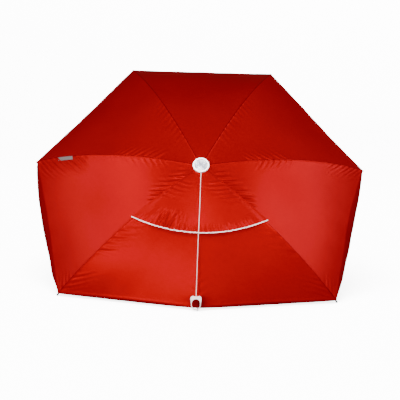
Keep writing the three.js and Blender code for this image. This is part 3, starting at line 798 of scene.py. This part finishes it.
def make_flap():
    points, normals, uvs = flap_grid()
    for name, (start, end, number) in FLAP_PARTS.items():
        part = points[:, start : end + 1]
        vertices = part.reshape(-1, 3)
        cloth = add_mesh(
            f"vent_flap_cloth_{name}",
            vertices,
            [(a, d, c, b) for a, b, c, d in grid_faces(*part.shape[:2])],
            uvs[:, start : end + 1].reshape(-1, 2),
            normals[:, start : end + 1].reshape(-1, 3),
        )
        cloth.data.materials.append(flap_cloth)
        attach(cloth, f"rib_{number}")
        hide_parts(f"vent_flap_{name}")
        crumple(cloth)

        outward = normals[-1, start : end + 1]
        edge = points[-1, start : end + 1] + PIPING_RISE * outward
        section = ellipse(PIPING_HALF_WIDTH, PIPING_HALF_HEIGHT, 12)
        tape = swept(f"vent_piping_{name}", edge, section, outward)
        tape.data.materials.append(white_tape)
        white_trim.append(tape)
        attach(tape, f"rib_{number}")
        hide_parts(f"vent_binding_{name}")
        crumple(tape)


make_flap()

# ---- pull cord and finger ring -------------------------------------------------------------

RING_TOP_SHARE = 0.659
RING_WIDTH = 0.041
RING_HEIGHT = 0.0545
RING_THICKNESS = 0.006
RING_LIFT = 0.0058
RING_ROUND = 0.0020  # radius of its rounded edges
RING_HOLE_RADIUS = 0.0148
RING_FOOT_WALL = 0.0072  # below the hole
RING_MIDDLE_SHARE = RING_TOP_SHARE + RING_HEIGHT / 2 / RIB_LENGTH
RING_SLOPE = rib_slope(RING_MIDDLE_SHARE)
RING_ALONG = math.cos(RING_SLOPE) * rib_direction(1) + math.sin(RING_SLOPE) * AXIS
RING_OUT = -math.sin(RING_SLOPE) * rib_direction(1) + math.cos(RING_SLOPE) * AXIS
RING_ASIDE = -0.0066 * ACROSS  # the ring hangs a little to one side of the short rib
RING_TOP = (
    rib_point(1, RING_MIDDLE_SHARE, RING_LIFT + RING_THICKNESS / 2)
    - RING_ALONG * RING_HEIGHT / 2
    + RING_ASIDE
)
CORD_SOCKET = 0.0067


def in_short_rib_plane(radius, height):
    return HUB + radius * rib_direction(1) + height * AXIS


CORD_ROUTE = [
    in_short_rib_plane(CORD_INNER + 0.0003, CAP_BOTTOM + 0.0013),
    in_short_rib_plane(0.040, CAP_BOTTOM + 0.0019),
    rib_point(1, 0.1, 0.0112) + 0.05 * RING_ASIDE,
    rib_point(1, 0.2, 0.0142) + 0.2 * RING_ASIDE,
    rib_point(1, 0.3, 0.0184) + 0.45 * RING_ASIDE,
    rib_point(1, 0.35, 0.0212) + 0.6 * RING_ASIDE,
    rib_point(1, 0.41, 0.0195) + 0.7 * RING_ASIDE,
    rib_point(1, 0.5, 0.0146) + 0.85 * RING_ASIDE,
    rib_point(1, 0.6, 0.010) + 0.95 * RING_ASIDE,
    RING_TOP - RING_ALONG * 0.006,
    RING_TOP + RING_ALONG * CORD_SOCKET,
]


def smooth_route(points, steps):
    """Centripetal Catmull-Rom curve through the points, at evenly spaced places."""
    points = np.array(points)
    ends = np.array([2 * points[0] - points[1], *points, 2 * points[-1] - points[-2]])
    found = []
    for index in range(len(points) - 1):
        p0, p1, p2, p3 = ends[index : index + 4]
        knots = [0.0]
        for a, b in ((p0, p1), (p1, p2), (p2, p3)):
            knots.append(knots[-1] + math.sqrt(np.linalg.norm(b - a)))
        t = np.linspace(knots[1], knots[2], 24, endpoint=False)[:, None]
        t0, t1, t2, t3 = knots
        a1 = (t1 - t) / (t1 - t0) * p0 + (t - t0) / (t1 - t0) * p1
        a2 = (t2 - t) / (t2 - t1) * p1 + (t - t1) / (t2 - t1) * p2
        a3 = (t3 - t) / (t3 - t2) * p2 + (t - t2) / (t3 - t2) * p3
        b1 = (t2 - t) / (t2 - t0) * a1 + (t - t0) / (t2 - t0) * a2
        b2 = (t3 - t) / (t3 - t1) * a2 + (t - t1) / (t3 - t1) * a3
        found.append((t2 - t) / (t2 - t1) * b1 + (t - t1) / (t2 - t1) * b2)
    line = np.vstack([*found, points[-1:]])
    travelled = np.concatenate([[0], np.cumsum(step_lengths(line))])
    places = np.linspace(0, travelled[-1], steps)
    return np.stack([np.interp(places, travelled, line[:, i]) for i in range(3)], -1)


def make_cord(ring):
    line = smooth_route(CORD_ROUTE, 160)
    outward = np.tile(AXIS, (len(line), 1))
    cord = swept("pull_cord_braid", line, ellipse(CORD_RADIUS, CORD_RADIUS, 16), outward)
    cord.data.materials.append(white_cord)
    white_trim.extend((cord, ring))
    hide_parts("pull_cord")
    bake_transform(cord)


def half_circle(centre, radius):
    """Points of the half circle beyond a centre on the x axis."""
    turn = np.linspace(-math.pi / 2, math.pi / 2, 33)
    return [(centre + radius * math.cos(a), radius * math.sin(a)) for a in turn]


def ring_loops():
    """Outline and hole of the ring, from its top along x, as lists of points."""
    half = RING_WIDTH / 2
    low_half = half - 0.0030  # the sides draw in towards the round end
    saddle = [(0.0022, -0.0015), (0.0016, -0.0060), (0.0002, -0.0110), (0.0004, -half + 0.0062)]
    corner = [(0.0016, -half + 0.0034), (0.0036, -half + 0.0014), (0.0064, -half + 0.0002)]
    shoulder = saddle + corner + [(0.0120, -half)]
    bottom = half_circle(RING_HEIGHT - low_half, low_half)
    outline = shoulder + bottom + [(x, -y) for x, y in shoulder[::-1]]
    hole = half_circle(RING_HEIGHT - RING_FOOT_WALL - RING_HOLE_RADIUS, RING_HOLE_RADIUS)
    hole += [(0.0230, 0.0135), (0.0180, 0.0105), (0.0148, 0.0060), (0.0136, 0.0)]
    hole += [(0.0148, -0.0060), (0.0180, -0.0105), (0.0230, -0.0135)]
    return outline, hole


def make_ring():
    """A flat-topped finger ring with wide shoulders, thin round sides and a cord groove."""
    curve = bpy.data.curves.new("finger_ring", "CURVE")
    curve.dimensions = "2D"
    curve.fill_mode = "BOTH"
    curve.extrude = RING_THICKNESS / 2 - RING_ROUND
    curve.bevel_depth = RING_ROUND
    curve.bevel_resolution = 4
    for loop, inset in zip(ring_loops(), (RING_ROUND, -RING_ROUND)):
        spline = curve.splines.new("POLY")
        spline.points.add(len(loop) - 1)
        centre = np.mean(loop, axis=0)
        for point, (x, y) in zip(spline.points, loop):
            away = np.array([x, y]) - centre
            away /= np.linalg.norm(away)
            point.co = (x - inset * away[0], y - inset * away[1], 0, 1)
        spline.use_cyclic_u = True
    shape = link_object("finger_ring_shape", curve)
    bpy.context.view_layer.update()
    graph = bpy.context.evaluated_depsgraph_get()
    mesh = bpy.data.meshes.new_from_object(shape.evaluated_get(graph))
    bpy.data.objects.remove(shape)
    ring = link_object("finger_ring", mesh)
    mesh.transform(placing(RING_ALONG, np.cross(RING_OUT, RING_ALONG), RING_OUT, RING_TOP))
    mesh.polygons.foreach_set("use_smooth", [True] * len(mesh.polygons))
    mesh.set_sharp_from_angle(angle=math.radians(50))
    mesh.materials.clear()
    mesh.materials.append(ring_plastic)
    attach(ring, "pull_ring")
    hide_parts("pull_ring")
    return ring


make_cord(make_ring())

# ---- cap -----------------------------------------------------------------------------------

SCREW_HOLE_RADIUS = 0.0026
DISC_RADIUS = 0.0250
LENS_RADIUS = 0.0251
LENS_BOTTOM = 0.0072  # above the cap's bottom
LENS_EDGE = 0.0008
LENS_RISE = 0.0028


def pearl_material():
    """Mottled pearl foil under the dome: pale grey and white patches with a soft gloss."""
    shader = Shader("mottled_pearl")
    coarse = shader.noise(38, detail=2, roughness=0.5)
    streaks = shader.noise(44, detail=3, stretch=(2.6, 1, 1))
    patches = shader.math("MULTIPLY", coarse, 0.6)
    tone = shader.math("ADD", patches, shader.math("MULTIPLY", streaks, 0.4))
    stops = [(0.40, (0.22, 0.22, 0.29)), (0.49, (0.52, 0.52, 0.60)), (0.57, (0.94, 0.95, 0.98))]
    shader.set(Base_Color=shader.ramp(tone, stops), Metallic=0.1)
    shader.set(Roughness=shader.spread(coarse, 0.15, 0.45))
    shader.bump(tone, 0.3, 0.001)
    return shader.material


def clear_material():
    """Clear acrylic that lets the linked light through, which refraction would stop."""
    shader = Shader("clear_acrylic")
    haze = shader.noise(140, detail=3)
    shader.set(Base_Color=(0.97, 0.98, 0.98, 1), Alpha=0.22, IOR=1.49)
    shader.set(Roughness=shader.spread(haze, 0.03, 0.1))
    shader.bump(haze, 0.03, 0.0003)
    return shader.material


def make_cap():
    bottom = CAP_BOTTOM
    rim = [(SCREW_HOLE_RADIUS, bottom), (CAP_RADIUS - 0.0008, bottom)]
    rim += [(CAP_RADIUS - 0.0002, bottom + 0.0004), (CAP_RADIUS, bottom + 0.0012)]
    rim.append((CAP_RADIUS, bottom + 0.0052))
    lip = 0.00325  # half the width of the rounded lip
    for step in range(13):
        angle = math.pi * step / 12
        radius = CAP_RADIUS - lip + lip * math.cos(angle)
        rim.append((radius, bottom + 0.0054 + 0.0032 * math.sin(angle)))
    rim += [(DISC_RADIUS + 0.0004, bottom + 0.0050), (DISC_RADIUS + 0.0002, bottom + 0.0046)]
    rim.append((SCREW_HOLE_RADIUS, bottom + 0.0044))
    base = turned("cap_rim", rim, 96)
    base.data.set_sharp_from_angle(angle=math.radians(60))
    base.data.materials.append(white_plastic)
    cap_pieces.append(base)
    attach(base, "shaft")
    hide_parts("cap_base")

    foil = [(DISC_RADIUS, bottom + 0.0049), (DISC_RADIUS, bottom + 0.0058)]
    foil += [(0.016, bottom + 0.0066), (0.0008, bottom + 0.0070)]
    disc = turned("cap_pearl_foil", foil, 72)
    disc.data.materials.append(pearl_material())
    cap_pieces.append(disc)
    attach(disc, "shaft")
    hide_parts("cap_pearl_disc")

    dome = [(LENS_RADIUS, bottom + LENS_BOTTOM)]
    for step in range(9):
        share = step / 8
        radius = LENS_RADIUS * (1 - share) + 0.0004
        rise = LENS_RISE * (1 - (1 - share) ** 2)
        dome.append((radius, bottom + LENS_BOTTOM + LENS_EDGE + rise))
    lens = turned("cap_dome", dome, 72)
    lens.data.materials.append(clear_material())
    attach(lens, "shaft")
    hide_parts("cap_lens")


make_cap()

# ---- woven label ---------------------------------------------------------------------------

LABEL_FROM = 0.728
LABEL_TO = 0.831
LABEL_WIDTH = 0.018
LABEL_LIFT = 0.0012  # clear of the cloth
LABEL_ROWS = 24
LABEL_COLUMNS = 8


def make_label():
    """A blank label that lies on the cloth beside the seam of rib 6, a little raised in its middle."""
    shares = np.linspace(LABEL_FROM, LABEL_TO, LABEL_ROWS)
    here = rib_point(6, shares, CLOTH_LIFT + LABEL_LIFT)
    there = rib_point(7, shares, CLOTH_LIFT + LABEL_LIFT)
    toward = there - here
    toward /= np.linalg.norm(toward, axis=1, keepdims=True)
    columns = np.linspace(0.001, LABEL_WIDTH, LABEL_COLUMNS)
    points = here[:, None] + toward[:, None] * columns[None, :, None]
    out = grid_normals(points)
    curl = 0.0004 + 0.0006 * np.sin(np.linspace(0, math.pi, LABEL_ROWS))[:, None]
    points = points + out * curl[..., None]
    along = np.broadcast_to((shares * RIB_LENGTH)[:, None], points.shape[:2])
    uvs = np.stack([np.broadcast_to(columns[None], points.shape[:2]), along], -1)
    faces = [(a, d, c, b) for a, b, c, d in grid_faces(LABEL_ROWS, LABEL_COLUMNS)]
    label = add_mesh("blank_label", points.reshape(-1, 3), faces, uvs.reshape(-1, 2))
    thickness = label.modifiers.new("thickness", "SOLIDIFY")
    thickness.thickness = 0.0008
    thickness.offset = 0
    label.data.materials.append(grey_label)
    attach(label, "rib_6")
    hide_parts("woven_label")


make_label()

# ---- materials of the carried-over CAD nodes -----------------------------------------------

NODE_LOOKS = {
    "rib_clip": black_plastic,
    "rib_tip": black_plastic,
    "rib_": fibreglass,
    "stretcher": fibreglass,
    "shaft_tube": shaft_lacquer,
    "top_notch": black_plastic,
    "runner_sleeve": black_plastic,
    "handle_grip": grip_foam,
    "handle_": black_plastic,
}


def dress_nodes():
    for name, obj in frame["nodes"].items():
        look = next((m for start, m in NODE_LOOKS.items() if name.startswith(start)), bright_steel)
        obj.data.materials.clear()
        obj.data.materials.append(look)


dress_nodes()

# ---- floor and light -----------------------------------------------------------------------

FLOOR_RADIUS = 6.0
WALL_BEND = 2.5
WALL_HEIGHT = 5.0
FLOOR_GLOW = 5.0
WALL_GLOW = 14.0
FLOOR_SUN = 28.0
CAP_SUN = 24.0
TRIM_SUN = 6.5


def floor_material():
    """White stage paint that glows more towards the wall, where the stage light fades."""
    shader = Shader("white_stage")
    place = shader.node("ShaderNodeTexCoord").outputs["Object"]
    glow = shader.node("ShaderNodeMapRange")
    shader.link(shader.parts(place)[2], glow.inputs["Value"])
    for name, value in (("From Max", WALL_BEND), ("To Min", FLOOR_GLOW), ("To Max", WALL_GLOW)):
        glow.inputs[name].default_value = value
    shader.set(Base_Color=(0.85, 0.85, 0.85, 1), Roughness=0.9, Specular_IOR_Level=0.0)
    shader.set(Emission_Color=(1, 1, 1, 1), Emission_Strength=glow.outputs["Result"])
    return shader.material


def make_floor():
    """A pale round floor that curves up into a wall all the way round."""
    profile = [(0.02, 0.0), (1.0, 0.0), (3.0, 0.0), (FLOOR_RADIUS, 0.0)]
    for step in range(1, 13):
        angle = math.pi / 2 * step / 12
        radius = FLOOR_RADIUS + WALL_BEND * math.sin(angle)
        profile.append((radius, WALL_BEND * (1 - math.cos(angle))))
    profile.append((FLOOR_RADIUS + WALL_BEND, WALL_HEIGHT))
    sides = 96
    faces = grid_faces(len(profile), sides, closed=True)
    faces.append(tuple(range(sides)))
    floor = add_mesh("floor", turned_rings(profile, sides), faces)
    floor.data.materials.append(floor_material())
    floor.visible_diffuse = False  # the white stage doesn't wash out the cloth
    floor.visible_glossy = False
    return floor


def add_linked_sun(name, energy, spread, toward, receivers):
    """A soft distant light that only the given pieces receive, though every piece shades it."""
    data = bpy.data.lights.new(name, "SUN")
    data.energy = energy
    data.angle = math.radians(spread)
    sun = link_object(name, data)
    sun.rotation_euler = (-Vector(toward)).to_track_quat("-Z", "Y").to_euler()
    linked = bpy.data.collections.new(f"{name}_receivers")
    for receiver in receivers:
        linked.objects.link(receiver)
    sun.light_linking.receiver_collection = linked


LIGHT_TARGET = Vector((0, -0.25, 0.42))
LIGHT_DISTANCE = 3.2
SOFTBOX_SIZE = 1.1
SOFTBOXES = [  # name, azimuth right of the front, elevation, power
    ("low_front", 0, 3, 50),
    ("high_front", 0, 40, 25),
    ("high_left", -60, 40, 24),
    ("low_left", -40, 3, 25),
    ("side_right", 80, 20, 14),
    ("rear_right", 90, 40, 16),
    ("side_left", -80, 20, 12),
    ("high_right", 60, 40, 13),
    ("low_rear", 180, 5, 40),
]
WORLD_LIGHT = 0.06


def make_light():
    world = bpy.data.worlds.new("studio")
    world.use_nodes = True
    background = world.node_tree.nodes["Background"]
    background.inputs["Color"].default_value = (1, 1, 1, 1)
    background.inputs["Strength"].default_value = WORLD_LIGHT
    bpy.context.scene.world = world
    for name, azimuth, elevation, power in SOFTBOXES:
        data = bpy.data.lights.new(name, "AREA")
        data.shape = "RECTANGLE"
        data.size = SOFTBOX_SIZE
        data.size_y = SOFTBOX_SIZE
        data.energy = power
        light = link_object(name, data)
        turn, rise = math.radians(azimuth), math.radians(elevation)
        level = math.cos(rise)
        toward = Vector((math.sin(turn) * level, -math.cos(turn) * level, math.sin(rise)))
        light.location = LIGHT_TARGET + toward * LIGHT_DISTANCE
        light.rotation_euler = (-toward).to_track_quat("-Z", "Y").to_euler()


add_linked_sun("stage_sun", FLOOR_SUN, 55, (-0.12, -0.15, 1), [make_floor()])
add_linked_sun("cap_sun", CAP_SUN, 70, (-0.35, -1, 0.9), cap_pieces)
add_linked_sun("trim_sun", TRIM_SUN, 70, (-0.35, -1, 0.9), white_trim)
make_light()
